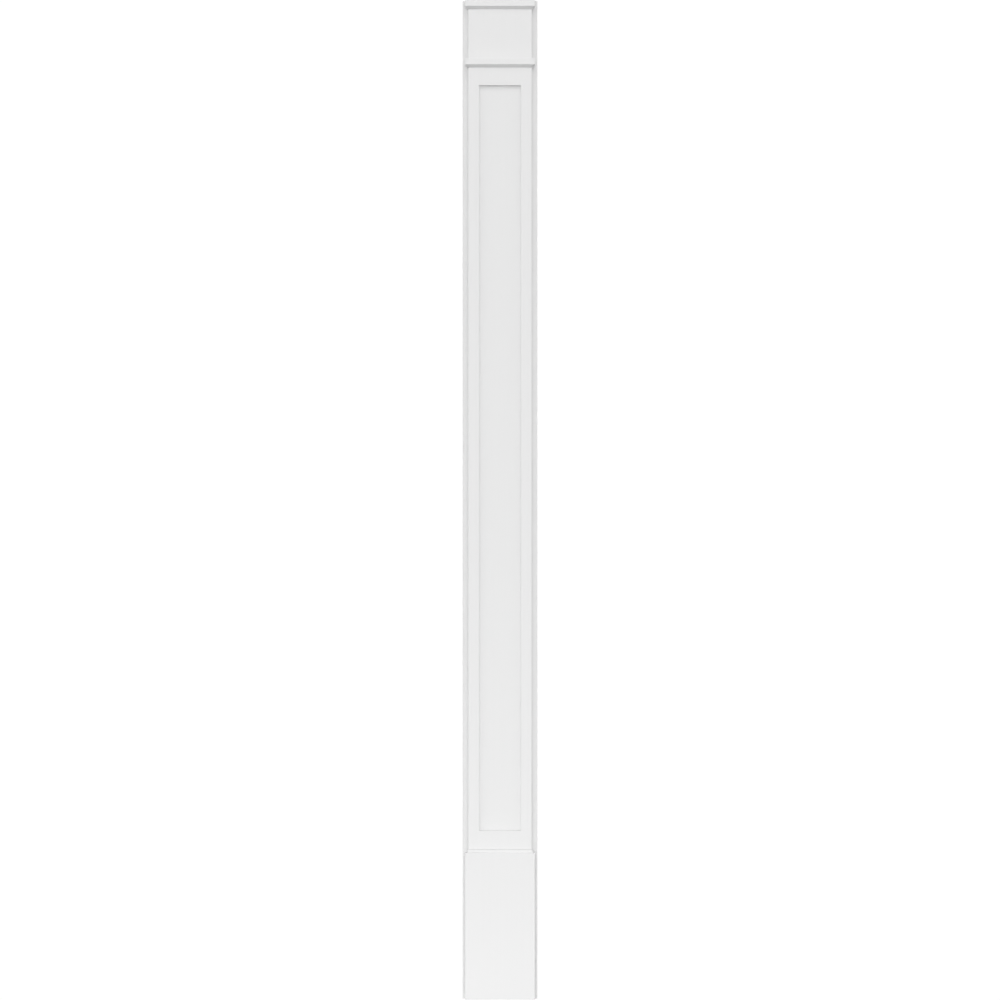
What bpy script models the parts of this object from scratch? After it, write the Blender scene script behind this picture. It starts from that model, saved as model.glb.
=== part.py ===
# A tall, flat-panelled pilaster: a strip of wall dressing in white foamed board, fixed flat to a wall.
#
# Frame: metres, +Z up. The back face lies in the plane y = 0, the front looks along -Y, and the width
# runs along X, the same on both sides of x = 0. The origin is the middle of the back face's foot edge.
#
# How it is made: a backing board stands behind everything. In front of it a plinth block stands on the
# ground, and the shaft, one board with a flat panel sunk in its face, stands on the plinth and runs to
# the top. Two mouldings are planted round the shaft's face and sides, each a front length and two
# returns with mitred corners: one at the neck, below the plain frieze, and one at the cap.

import math

import bmesh
import bpy
from mathutils import Vector

# Driving dimensions, in metres. The inches that they come from are given beside them.

OVERALL_HEIGHT = 3.048          # 120 in
BACK_WIDTH = 0.2286             # 9 in
BACK_THICKNESS = 0.01905        # 3/4 in

SHAFT_WIDTH = 0.193675          # 7 5/8 in
SHAFT_THICKNESS = 0.022225      # 7/8 in
PANEL_STILE = 0.0333375         # 1 5/16 in, the flat strip on each side of the sunk panel
PANEL_BOTTOM_RAIL = 0.05715     # 2 1/4 in, from the plinth up to the panel
PANEL_TOP_RAIL = 0.053975       # 2 1/8 in, from the panel up to the neck moulding
PANEL_DEPTH = 0.009525          # 3/8 in

PLINTH_HEIGHT = 0.4572          # 18 in, with its splayed top
PLINTH_PROJECTION = 0.009525    # 3/8 in beyond the shaft, in front and on both sides
PLINTH_SPLAY_HEIGHT = 0.009525  # 3/8 in
PLINTH_LEDGE = 0.0047625        # 3/16 in of flat top outside the splay

MOULDING_PROJECTION = 0.009525  # 3/8 in beyond the shaft, in front and on both sides
MOULDING_FACE = 0.01905         # 3/4 in, the upright face
MOULDING_SPLAY = 0.009525       # 3/8 in, the height of the sloping underside
FRIEZE_HEIGHT = 0.149225        # 5 7/8 in, between the two mouldings

JOINT_GAP = 0.0003              # the glue line between two pieces that touch
CUTTER_MARGIN = 0.01            # how far a cutter stands out of what it cuts

# Levels that follow from them

MOULDING_HEIGHT = MOULDING_FACE + MOULDING_SPLAY
CAP_BOTTOM = OVERALL_HEIGHT - MOULDING_HEIGHT
NECK_TOP = CAP_BOTTOM - FRIEZE_HEIGHT
NECK_BOTTOM = NECK_TOP - MOULDING_HEIGHT
PANEL_TOP = NECK_BOTTOM - PANEL_TOP_RAIL
PANEL_BOTTOM = PLINTH_HEIGHT + PANEL_BOTTOM_RAIL

# Places across the width and the depth

SHAFT_SIDE = SHAFT_WIDTH / 2
SHAFT_FRONT = -(BACK_THICKNESS + SHAFT_THICKNESS)
FRONT_PIECES_BACK = -(BACK_THICKNESS + JOINT_GAP)

# Finishes: the same white board, a little glossier where a moulding's skin is left as it was made.

WHITE = (0.8, 0.8, 0.8, 1.0)
SHEET_ROUGHNESS = 0.5
MOULDED_ROUGHNESS = 0.42


def clear_scene():
    for thing in list(bpy.data.objects):
        bpy.data.objects.remove(thing, do_unlink=True)


def white_finish(name, roughness):
    material = bpy.data.materials.new(name)
    material.use_nodes = True
    shader = material.node_tree.nodes["Principled BSDF"]
    shader.inputs["Base Color"].default_value = WHITE
    shader.inputs["Roughness"].default_value = roughness
    shader.inputs["Metallic"].default_value = 0.0
    return material


def add_piece(name, form, roughness):
    """Makes an object of a finished form and gives it a finish of its own."""
    bmesh.ops.recalc_face_normals(form, faces=form.faces)
    mesh = bpy.data.meshes.new(name)
    form.to_mesh(mesh)
    form.free()
    mesh.materials.append(white_finish(name + "_white", roughness))
    piece = bpy.data.objects.new(name, mesh)
    bpy.context.collection.objects.link(piece)
    return piece


def box_form(low, high):
    """A box between two corners."""
    form = bmesh.new()
    bmesh.ops.create_cube(form, size=1.0)
    size = Vector(high) - Vector(low)
    bmesh.ops.scale(form, vec=size, verts=form.verts)
    bmesh.ops.translate(form, vec=Vector(low) + size / 2, verts=form.verts)
    return form


def make_backing_board():
    half = BACK_WIDTH / 2
    form = box_form((-half, -BACK_THICKNESS, 0.0), (half, 0.0, OVERALL_HEIGHT))
    return add_piece("backing_board", form, SHEET_ROUGHNESS)


def make_plinth_block():
    """A block that narrows on three sides above its ledge and stays flat at the back."""
    side = SHAFT_SIDE + PLINTH_PROJECTION
    front = SHAFT_FRONT - PLINTH_PROJECTION
    shoulder = PLINTH_HEIGHT - PLINTH_SPLAY_HEIGHT
    form = box_form((-side, front, 0.0), (side, FRONT_PIECES_BACK, shoulder))
    # each step raises the top face by one amount and draws it in from the front and the sides by another
    steps = ((0.0, PLINTH_LEDGE), (PLINTH_SPLAY_HEIGHT, PLINTH_PROJECTION - PLINTH_LEDGE))
    for rise, setback in steps:
        top = max(form.faces, key=lambda face: face.calc_center_median().z)
        raised = bmesh.ops.extrude_discrete_faces(form, faces=[top])["faces"][0]
        for corner in raised.verts:
            corner.co.z += rise
            corner.co.x -= math.copysign(setback, corner.co.x)
            if corner.co.y < FRONT_PIECES_BACK - JOINT_GAP:
                corner.co.y += setback
    return add_piece("plinth_block", form, SHEET_ROUGHNESS)


def make_shaft():
    """One board from the plinth to the top, with a flat panel sunk in its face below the neck."""
    foot = PLINTH_HEIGHT + JOINT_GAP
    form = box_form((-SHAFT_SIDE, SHAFT_FRONT, foot), (SHAFT_SIDE, FRONT_PIECES_BACK, OVERALL_HEIGHT))
    shaft = add_piece("shaft", form, SHEET_ROUGHNESS)

    panel_side = SHAFT_SIDE - PANEL_STILE
    cutter_form = box_form(
        (-panel_side, SHAFT_FRONT - CUTTER_MARGIN, PANEL_BOTTOM),
        (panel_side, SHAFT_FRONT + PANEL_DEPTH, PANEL_TOP),
    )
    cutter = add_piece("panel_cutter", cutter_form, SHEET_ROUGHNESS)
    cutter.hide_render = True
    cutter.display_type = "WIRE"

    cut = shaft.modifiers.new("sunk_panel", "BOOLEAN")
    cut.operation = "DIFFERENCE"
    cut.solver = "EXACT"
    cut.object = cutter
    return shaft


def moulding_form(bottom, outward, along, start, length):
    """A straight length of moulding: its section, in the plane of outward and +Z, drawn out along a line."""
    feather = MOULDING_SPLAY * JOINT_GAP / MOULDING_PROJECTION
    section = (
        (JOINT_GAP, bottom + feather),
        (MOULDING_PROJECTION, bottom + MOULDING_SPLAY),
        (MOULDING_PROJECTION, bottom + MOULDING_HEIGHT),
        (JOINT_GAP, bottom + MOULDING_HEIGHT),
    )
    form = bmesh.new()
    corners = [form.verts.new(start + outward * out + Vector((0.0, 0.0, level))) for out, level in section]
    end_face = form.faces.new(corners)
    drawn = bmesh.ops.extrude_face_region(form, geom=[end_face])["geom"]
    moved = [part for part in drawn if isinstance(part, bmesh.types.BMVert)]
    bmesh.ops.translate(form, vec=along * length, verts=moved)
    return form


def cut_mitre(form, point, keep_away_from):
    """Saws a form through a point and closes the cut, dropping the side that the second vector points to."""
    everything = list(form.verts) + list(form.edges) + list(form.faces)
    bmesh.ops.bisect_plane(
        form, geom=everything, dist=1e-7, plane_co=point, plane_no=keep_away_from, clear_outer=True
    )
    open_edges = [edge for edge in form.edges if edge.is_boundary]
    bmesh.ops.contextual_create(form, geom=open_edges)


def make_moulding(name, bottom):
    """A moulding planted round the shaft: a front length and two returns, mitred at the corners."""
    spare = 4 * MOULDING_PROJECTION
    half_gap = JOINT_GAP / 2
    pieces = []

    front_start = Vector((-SHAFT_SIDE - spare, SHAFT_FRONT, 0.0))
    run = SHAFT_SIDE + spare - front_start.x
    form = moulding_form(bottom, Vector((0, -1, 0)), Vector((1, 0, 0)), front_start, run)
    for side in (-1, 1):
        corner = Vector((side * SHAFT_SIDE, SHAFT_FRONT, bottom))
        outer = Vector((side, 1, 0)).normalized()
        cut_mitre(form, corner - outer * half_gap, outer)
    pieces.append(add_piece(name + "_front", form, MOULDED_ROUGHNESS))

    for side, side_name in ((-1, "left"), (1, "right")):
        return_start = Vector((side * SHAFT_SIDE, FRONT_PIECES_BACK, 0.0))
        run = FRONT_PIECES_BACK - SHAFT_FRONT + spare
        form = moulding_form(bottom, Vector((side, 0, 0)), Vector((0, -1, 0)), return_start, run)
        corner = Vector((side * SHAFT_SIDE, SHAFT_FRONT, bottom))
        outer = Vector((-side, -1, 0)).normalized()
        cut_mitre(form, corner - outer * half_gap, outer)
        pieces.append(add_piece(f"{name}_{side_name}", form, MOULDED_ROUGHNESS))
    return pieces


def main():
    clear_scene()
    make_backing_board()
    make_plinth_block()
    make_shaft()
    make_moulding("neck_moulding", NECK_BOTTOM)
    make_moulding("cap_moulding", CAP_BOTTOM)


main()
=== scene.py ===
# A tall, flat-panelled pilaster in white foamed board, seen straight from the front in soft studio light.
#
# Metres, +Z up. The back face lies in y = 0, the front looks along -Y and the floor is z = 0. Each piece
# follows the box of the solid that it stands for, and adds what a maker's hands and tools leave on it:
# eased arrises, mitres, the skin of the sheet and the open cells where it has been cut.

import math

import bmesh
import bpy
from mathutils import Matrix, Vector


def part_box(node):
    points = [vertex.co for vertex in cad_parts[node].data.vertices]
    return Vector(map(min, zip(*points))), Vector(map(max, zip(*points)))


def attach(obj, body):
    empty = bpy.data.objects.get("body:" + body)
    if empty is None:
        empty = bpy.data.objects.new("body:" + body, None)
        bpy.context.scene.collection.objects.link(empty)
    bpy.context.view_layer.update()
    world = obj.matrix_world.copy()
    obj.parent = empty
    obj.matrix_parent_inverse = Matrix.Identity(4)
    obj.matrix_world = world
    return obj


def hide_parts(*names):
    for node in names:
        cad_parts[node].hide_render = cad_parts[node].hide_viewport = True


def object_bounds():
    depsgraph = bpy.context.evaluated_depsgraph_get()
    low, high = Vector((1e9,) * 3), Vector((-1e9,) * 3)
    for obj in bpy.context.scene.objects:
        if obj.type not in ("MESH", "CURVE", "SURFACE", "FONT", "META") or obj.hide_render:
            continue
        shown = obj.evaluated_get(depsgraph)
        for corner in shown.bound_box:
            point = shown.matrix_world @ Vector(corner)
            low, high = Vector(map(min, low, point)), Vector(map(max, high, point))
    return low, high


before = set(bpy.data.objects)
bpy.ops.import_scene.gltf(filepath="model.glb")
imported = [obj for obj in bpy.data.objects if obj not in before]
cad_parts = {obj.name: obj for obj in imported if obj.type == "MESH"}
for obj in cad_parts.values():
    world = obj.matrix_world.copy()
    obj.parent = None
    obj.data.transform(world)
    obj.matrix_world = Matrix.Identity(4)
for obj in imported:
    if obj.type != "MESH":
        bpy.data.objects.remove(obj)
solid_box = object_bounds()

# Sizes that the boxes of the solids don't give, in metres

PANEL_STILE = 0.0333375
PANEL_BOTTOM_RAIL = 0.05715
PANEL_TOP_RAIL = 0.053975
PANEL_DEPTH = 0.009525
PLINTH_SPLAY_HEIGHT = 0.009525
PLINTH_LEDGE = 0.0047625
PLINTH_PROJECTION = 0.009525
MOULDING_SPLAY = 0.009525
JOINT_GAP = 0.0003          # the glue line between two pieces that touch
SAW_TOLERANCE = 1e-7        # how near a corner is to a saw cut to count as on it

# How far arrises are eased, and how sharp one has to be for that and for a crisp line in its shading

BOARD_EASE = 0.0006
PLINTH_EASE = 0.0005
PANEL_EASE = 0.0004
STRIP_EASE = 0.0003
EASE_SEGMENTS = 3
SHARP_ANGLE = math.radians(20)
CRISP_ANGLE = math.radians(32)

# The part of a face's normal that lies along an axis: more than the first where the face looks along the
# axis, and less than the second where the face is edge-on to it

LOOKS_ALONG = 0.99
EDGE_ON = 0.1

# The skin of drawn board. Scales are in cycles to the metre.

BOARD_WHITE = 0.80
# The backing sheet's white is lower than the board's: painted shade on the strips of it beside the shaft
BACKING_WHITE_WITH_PAINTED_SHADE = 0.775
BOARD_ROUGHNESS = 0.46
STRIP_ROUGHNESS = 0.42
GRAIN_ACROSS = 140.0
GRAIN_ALONG = 1.6
CLOUD_SCALE = (5.0, 5.0, 2.0)
PEEL_SCALE = (900.0, 900.0, 900.0)
STREAKS_IN_TONE = 0.6
TONE_SPREAD = 0.012
GLOSS_OF_SKIN = 0.03
ROUGHNESS_OF_STREAKS = 0.04
ROUGHNESS_OF_PEEL = 0.03
PEEL_IN_RELIEF = 0.7
SKIN_RELIEF = 0.00004

# A cut through the foam, whose cells have painted shade in the middle of each pit and painted light on the
# ridges between

# Cut faces are a darker white than the skin: partly the cut foam's own tone, partly painted shade on the
# walls of the sunk panel and on the plinth's ledge
CUT_WHITE_AND_PAINTED_SHADE = 0.75
CELL_SCALE = 1400.0
BLADE_MARK_SCALE = (30.0, 420.0, 420.0)
CELL_PAINTED_SHADE = 0.05
CELL_PAINTED_LIGHT = 0.02
CUT_ROUGHNESS = 0.62
ROUGHNESS_OF_CELLS = 0.1
CELLS_IN_RELIEF = 0.7
CUT_RELIEF = 0.00015

# The camera: level with the middle of the pilaster, far off, with a long lens

INCH = 0.0254
CAMERA_DISTANCE = 500 * INCH
PIXELS_PER_INCH_AT_FRONT = 8.335
PICTURE_SIDE = 1000
SENSOR_MILLIMETRES = 36.0
AIM_PIXELS_BELOW_MIDDLE = 0.3
FARTHEST_SEEN = 200.0

# The floor, and the white that it and the surroundings show to the camera

FLOOR_RADIUS = 60.0
FLOOR_SIDES = 64
SHOWN_WHITE = 1.03

# Light from all round, beside the lamps

AMBIENT = 0.1

# Broad, even lamps far off. For each: how brightly it lights a white surface that faces it, how high it
# stands and how far it is round from the front to the right, in degrees, and how wide it spreads.

LAMPS = {
    "front_light": (0.209, 5, 0, 30),
    "overhead_light": (0.332, 45, 0, 50),
    "floor_glow": (0.192, -35, 0, 60),
    "left_light": (0.331, 15, -65, 60),
    "right_light": (0.292, 15, 65, 60),
    "rear_left_light": (0.55, 5, -140, 60),
    "rear_right_light": (0.46, 5, 140, 60),
}

# Low discs of light in front, as a pale floor gives: where each stands, how wide it is and its power

FILLS = {
    "low_fill": ((-0.18, -1.8, 0.05), 0.8, 2.62),
    "foot_fill": ((-0.03, -0.4, 0.0), 0.2, 0.036),
}


# Shader nodes


class Level:
    """A shader socket that takes part in Python sums."""

    def __init__(self, nodes, socket):
        self.nodes = nodes
        self.socket = socket

    def _maths(self, operation, left, right):
        return self.nodes.node("ShaderNodeMath", {"operation": operation}, {0: left, 1: right})

    def __add__(self, other):
        return self._maths("ADD", self, other)

    __radd__ = __add__

    def __sub__(self, other):
        return self._maths("SUBTRACT", self, other)

    def __rsub__(self, other):
        return self._maths("SUBTRACT", other, self)

    def __mul__(self, other):
        return self._maths("MULTIPLY", self, other)

    __rmul__ = __mul__


class Nodes:
    """A node tree, with one way to add a node to it."""

    def __init__(self, tree):
        self.tree = tree

    def node(self, kind, settings=None, values=None, output=0):
        node = self.tree.nodes.new(kind)
        for name, setting in (settings or {}).items():
            setattr(node, name, setting)
        for name, value in (values or {}).items():
            self.feed(node.inputs[name], value)
        return Level(self, node.outputs[output])

    def feed(self, socket, value):
        if isinstance(value, Level):
            self.tree.links.new(value.socket, socket)
        else:
            socket.default_value = value


class Finish(Nodes):
    """A material, with its Principled shader and the patterns that finishes are made of."""

    SOCKETS = {
        "colour": "Base Color",
        "roughness": "Roughness",
        "normal": "Normal",
        "gloss": "Specular IOR Level",
        "glow": "Emission Color",
        "glow_strength": "Emission Strength",
    }

    def __init__(self, name):
        self.material = bpy.data.materials.new(name)
        self.material.use_nodes = True
        super().__init__(self.material.node_tree)
        self.shader = self.tree.nodes["Principled BSDF"]
        self.place = self.node("ShaderNodeTexCoord", output="Object")

    def stretched(self, scale):
        values = {"Vector": self.place, "Scale": scale}
        return self.node("ShaderNodeMapping", {"vector_type": "POINT"}, values)

    def noise(self, scale, detail=2.0, roughness=0.5):
        """Noise between 0 and 1, whose grain has its own scale along each axis."""
        values = {"Vector": self.stretched(scale), "Scale": 1.0, "Detail": detail, "Roughness": roughness}
        return self.node("ShaderNodeTexNoise", None, values)

    def cells(self, scale):
        """How far each place is from the middle of its cell."""
        values = {"Vector": self.place, "Scale": scale}
        return self.node("ShaderNodeTexVoronoi", {"feature": "F1"}, values, output="Distance")

    def blend(self, factor, low, high):
        """A colour between two others. A Mix node's colours are its seventh and eighth inputs."""
        return self.node("ShaderNodeMix", {"data_type": "RGBA"}, {0: factor, 6: low, 7: high}, output=2)

    def bump(self, height, distance):
        return self.node("ShaderNodeBump", None, {"Height": height, "Distance": distance}, output="Normal")

    def set(self, **looks):
        for name, value in looks.items():
            self.feed(self.shader.inputs[self.SOCKETS[name]], value)


# Finishes


def grey(level):
    return (level, level, level, 1.0)


def board_skin(name, lengthwise, base=BOARD_WHITE, roughness=BOARD_ROUGHNESS):
    """The smooth skin of foamed board: a faint drawn grain along one axis over a fine, even peel."""
    finish = Finish(name)
    grain_scale = tuple(GRAIN_ALONG if axis == lengthwise else GRAIN_ACROSS for axis in range(3))
    streaks = finish.noise(grain_scale, detail=3.0, roughness=0.6)
    clouds = finish.noise(CLOUD_SCALE)
    peel = finish.noise(PEEL_SCALE, detail=1.0)
    tone = STREAKS_IN_TONE * streaks + (1 - STREAKS_IN_TONE) * clouds
    relief = PEEL_IN_RELIEF * peel + (1 - PEEL_IN_RELIEF) * streaks
    finish.set(
        colour=finish.blend(tone, grey(base - TONE_SPREAD), grey(base + TONE_SPREAD)),
        roughness=roughness - GLOSS_OF_SKIN + ROUGHNESS_OF_STREAKS * streaks + ROUGHNESS_OF_PEEL * peel,
        normal=finish.bump(relief, SKIN_RELIEF),
    )
    return finish.material


def cut_foam(name):
    """A cut through the foam: fine open cells and the shallow marks of the blade, with a darker white that
    is painted shade on the sunk panel's walls and the plinth's ledge.
    """
    finish = Finish(name)
    cells = finish.cells(CELL_SCALE)
    marks = finish.noise(BLADE_MARK_SCALE)
    relief = CELLS_IN_RELIEF * cells + (1 - CELLS_IN_RELIEF) * marks
    finish.set(
        # painted shade in the cell pits and painted light on their ridges, following the cells' relief
        colour=finish.blend(cells, grey(CUT_WHITE_AND_PAINTED_SHADE - CELL_PAINTED_SHADE), grey(CUT_WHITE_AND_PAINTED_SHADE + CELL_PAINTED_LIGHT)),
        roughness=CUT_ROUGHNESS + ROUGHNESS_OF_CELLS * cells,
        normal=finish.bump(relief, CUT_RELIEF),
    )
    return finish.material


# Forms


def box_form(low, high):
    form = bmesh.new()
    bmesh.ops.create_cube(form, size=1.0)
    size = Vector(high) - Vector(low)
    bmesh.ops.scale(form, vec=size, verts=form.verts)
    bmesh.ops.translate(form, vec=Vector(low) + size / 2, verts=form.verts)
    return form


def ease(form, width, wanted=None):
    """Rounds the sharp arrises of a form, or those of them that wanted says."""
    arrises = [edge for edge in form.edges if edge.calc_face_angle(0.0) > SHARP_ANGLE]
    if wanted:
        arrises = [edge for edge in arrises if wanted(edge)]
    bmesh.ops.bevel(
        form,
        geom=arrises,
        offset=width,
        offset_type="OFFSET",
        segments=EASE_SEGMENTS,
        profile=0.5,
        affect="EDGES",
        clamp_overlap=True,
        material=-1,
    )


def faces_up_or_down(face):
    return abs(face.normal.z) > LOOKS_ALONG


def add_piece(name, form, node, skin, cut=None, is_cut=faces_up_or_down):
    """Makes a finished piece of a form, in place of a solid.

    Where a second finish is given, it goes on the faces that have been cut.
    """
    bmesh.ops.recalc_face_normals(form, faces=form.faces)
    if cut:
        for face in form.faces:
            face.material_index = int(is_cut(face))
    mesh = bpy.data.meshes.new(name)
    form.to_mesh(mesh)
    form.free()
    mesh.materials.append(skin)
    if cut:
        mesh.materials.append(cut)
    mesh.shade_smooth()
    mesh.set_sharp_from_angle(angle=CRISP_ANGLE)
    piece = bpy.data.objects.new(name, mesh)
    bpy.context.collection.objects.link(piece)
    flat_faces = piece.modifiers.new("flat_faces", "WEIGHTED_NORMAL")
    flat_faces.keep_sharp = True
    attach(piece, "root")
    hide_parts(node)


def make_backing_sheet(skin, cut):
    low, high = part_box("backing_board")
    form = box_form(low, high)
    ease(form, BOARD_EASE)
    add_piece("backing_sheet", form, "backing_board", skin, cut)


def make_plinth(skin, cut):
    """A block that narrows on three sides above its ledge and stays flat at the back."""
    low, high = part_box("plinth_block")
    form = box_form(low, (high[0], high[1], high[2] - PLINTH_SPLAY_HEIGHT))
    # each step raises the top face by one amount and draws it in from the front and the sides by another
    steps = ((0.0, PLINTH_LEDGE), (PLINTH_SPLAY_HEIGHT, PLINTH_PROJECTION - PLINTH_LEDGE))
    for rise, setback in steps:
        top = max(form.faces, key=lambda face: face.calc_center_median().z)
        raised = bmesh.ops.extrude_discrete_faces(form, faces=[top])["faces"][0]
        for corner in raised.verts:
            corner.co.z += rise
            corner.co.x -= math.copysign(setback, corner.co.x)
            if corner.co.y < high[1] - setback:
                corner.co.y += setback
    bmesh.ops.recalc_face_normals(form, faces=form.faces)
    ease(form, PLINTH_EASE, lambda edge: edge.is_convex)
    add_piece("plinth", form, "plinth_block", skin, cut)


def make_shaft(skin, cut):
    """One board with a flat panel sunk in its face below the neck."""
    low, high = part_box("shaft")
    form = box_form(low, high)
    panel = min(form.faces, key=lambda face: face.calc_center_median().y)
    bmesh.ops.inset_region(form, faces=[panel], thickness=PANEL_STILE, use_even_offset=True)
    panel_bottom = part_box("plinth_block")[1][2] + PANEL_BOTTOM_RAIL
    panel_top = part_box("neck_moulding_front")[0][2] - PANEL_TOP_RAIL
    for corner in panel.verts:
        corner.co.z = panel_bottom if corner.co.z < (low[2] + high[2]) / 2 else panel_top
    sunk = bmesh.ops.extrude_discrete_faces(form, faces=[panel])["faces"][0]
    bmesh.ops.translate(form, vec=(0.0, PANEL_DEPTH, 0.0), verts=sunk.verts)
    bmesh.ops.recalc_face_normals(form, faces=form.faces)
    ease(form, PANEL_EASE, lambda edge: edge.is_convex)
    middle_of_stile = high[0] - PANEL_STILE / 2

    def is_cut(face):
        """The ends of the board and the walls of the sunk panel."""
        return abs(face.normal.y) < EDGE_ON and abs(face.calc_center_median().x) < middle_of_stile

    add_piece("panelled_shaft", form, "shaft", skin, cut, is_cut)


def strip_form(node, outward, along):
    """A length of moulding strip as long as its solid: its section drawn out along a line."""
    low, high = (Vector(corner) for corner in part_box(node))
    depth = abs((high - low).dot(outward))
    inner_side = high.x if outward.x < 0 else low.x
    start = Vector((inner_side, high.y, 0.0))
    splay_top = low.z + MOULDING_SPLAY * depth / (depth + JOINT_GAP)
    section = ((0.0, low.z), (depth, splay_top), (depth, high.z), (0.0, high.z))
    form = bmesh.new()
    corners = [form.verts.new(start + outward * out + Vector((0.0, 0.0, level))) for out, level in section]
    end_face = form.faces.new(corners)
    drawn = bmesh.ops.extrude_face_region(form, geom=[end_face])["geom"]
    moved = [part for part in drawn if isinstance(part, bmesh.types.BMVert)]
    run = abs((high - low).dot(along))
    bmesh.ops.translate(form, vec=along * run, verts=moved)
    return form


def cut_mitre(form, point, away):
    """Saws a form through a point and closes the cut, dropping the side that the vector points to."""
    everything = list(form.verts) + list(form.edges) + list(form.faces)
    bmesh.ops.bisect_plane(
        form, geom=everything, dist=SAW_TOLERANCE, plane_co=point, plane_no=away, clear_outer=True
    )
    open_edges = [edge for edge in form.edges if edge.is_boundary]
    bmesh.ops.contextual_create(form, geom=open_edges)


def add_strip(node, form, skin):
    bmesh.ops.recalc_face_normals(form, faces=form.faces)
    ease(form, STRIP_EASE)
    add_piece(node + "_strip", form, node, skin)


def make_moulding(moulding, skin_across, skin_back):
    """A moulding: a front length and two returns, mitred at the corners."""
    front = moulding + "_front"
    low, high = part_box(front)
    form = strip_form(front, Vector((0, -1, 0)), Vector((1, 0, 0)))
    for side, tip in ((-1, low[0]), (1, high[0])):
        cut_mitre(form, Vector((tip, low[1], 0.0)), Vector((side, 1, 0)).normalized())
    add_strip(front, form, skin_across)

    for side, side_name in ((-1, "left"), (1, "right")):
        side_return = f"{moulding}_{side_name}"
        low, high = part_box(side_return)
        form = strip_form(side_return, Vector((side, 0, 0)), Vector((0, -1, 0)))
        tip = low[0] if side < 0 else high[0]
        cut_mitre(form, Vector((tip, low[1], 0.0)), Vector((-side, -1, 0)).normalized())
        add_strip(side_return, form, skin_back)


# Surroundings


def make_floor():
    """A plain white floor, seen by the camera alone, with no shadow on it."""
    form = bmesh.new()
    bmesh.ops.create_circle(form, cap_ends=True, segments=FLOOR_SIDES, radius=FLOOR_RADIUS)
    mesh = bpy.data.meshes.new("floor")
    form.to_mesh(mesh)
    form.free()
    floor = bpy.data.objects.new("floor", mesh)
    bpy.context.collection.objects.link(floor)
    finish = Finish("pale_floor")
    finish.set(colour=grey(0.0), gloss=0.0, glow=grey(1.0), glow_strength=SHOWN_WHITE)
    mesh.materials.append(finish.material)
    floor.visible_diffuse = False
    floor.visible_glossy = False
    floor.visible_shadow = False


def make_world():
    """Even white surroundings, which light the object more softly than they show."""
    world = bpy.data.worlds.new("white_studio")
    bpy.context.scene.world = world
    world.use_nodes = True
    nodes = Nodes(world.node_tree)
    background = nodes.tree.nodes["Background"]
    seen = nodes.node("ShaderNodeLightPath", output="Is Camera Ray")
    nodes.feed(background.inputs["Color"], grey(1.0))
    nodes.feed(background.inputs["Strength"], AMBIENT + (SHOWN_WHITE - AMBIENT) * seen)


def add_far_lamp(name, brightness, elevation, round_from_front, spread):
    """A soft light from so far off that it is the same all the way up the object."""
    light = bpy.data.lights.new(name, "SUN")
    light.energy = brightness * math.pi
    light.angle = math.radians(spread)
    lamp = bpy.data.objects.new(name, light)
    bpy.context.collection.objects.link(lamp)
    height = math.radians(elevation)
    turn = math.radians(round_from_front)
    level_reach = math.cos(height)
    towards = Vector((math.sin(turn) * level_reach, -math.cos(turn) * level_reach, math.sin(height)))
    lamp.rotation_euler = towards.to_track_quat("Z", "Y").to_euler()


def add_fill(name, place, width, power):
    """A low, soft light that faces the pilaster level."""
    light = bpy.data.lights.new(name, "AREA")
    light.shape = "DISK"
    light.size = width
    light.energy = power
    lamp = bpy.data.objects.new(name, light)
    bpy.context.collection.objects.link(lamp)
    lamp.location = place
    lamp.rotation_euler = Vector((place[0], place[1], 0.0)).to_track_quat("Z", "Y").to_euler()
    lamp.visible_camera = False


def add_camera():
    low, high = solid_box
    front = low[1]
    scale = PIXELS_PER_INCH_AT_FRONT / INCH
    height = (low[2] + high[2]) / 2 - AIM_PIXELS_BELOW_MIDDLE / scale
    camera_data = bpy.data.cameras.new("front_camera")
    camera_data.sensor_width = SENSOR_MILLIMETRES
    camera_data.lens = CAMERA_DISTANCE * scale * SENSOR_MILLIMETRES / PICTURE_SIDE
    camera_data.clip_end = FARTHEST_SEEN
    camera = bpy.data.objects.new("front_camera", camera_data)
    bpy.context.collection.objects.link(camera)
    camera.location = (0.0, front - CAMERA_DISTANCE, height)
    camera.rotation_euler = (math.radians(90), 0.0, 0.0)
    bpy.context.scene.camera = camera


def main():
    bpy.context.scene.view_settings.view_transform = "Standard"
    add_camera()
    make_world()
    make_floor()
    for name, settings in LAMPS.items():
        add_far_lamp(name, *settings)
    for name, settings in FILLS.items():
        add_fill(name, *settings)

    # The cut finish's darker white is painted shade where it lies on the sunk panel's walls and the
    # plinth's ledge
    cut = cut_foam("sawn_end_and_painted_shade")
    # the backing sheet's lower white is painted shade on the strips beside the shaft
    make_backing_sheet(board_skin("sheet_skin_with_painted_shade", lengthwise=2, base=BACKING_WHITE_WITH_PAINTED_SHADE), cut)
    make_plinth(board_skin("plinth_skin", lengthwise=2), cut)
    make_shaft(board_skin("shaft_skin", lengthwise=2), cut)
    strip_across = board_skin("strip_skin_across", lengthwise=0, roughness=STRIP_ROUGHNESS)
    strip_back = board_skin("strip_skin_back", lengthwise=1, roughness=STRIP_ROUGHNESS)
    for moulding in ("neck_moulding", "cap_moulding"):
        make_moulding(moulding, strip_across, strip_back)


main()
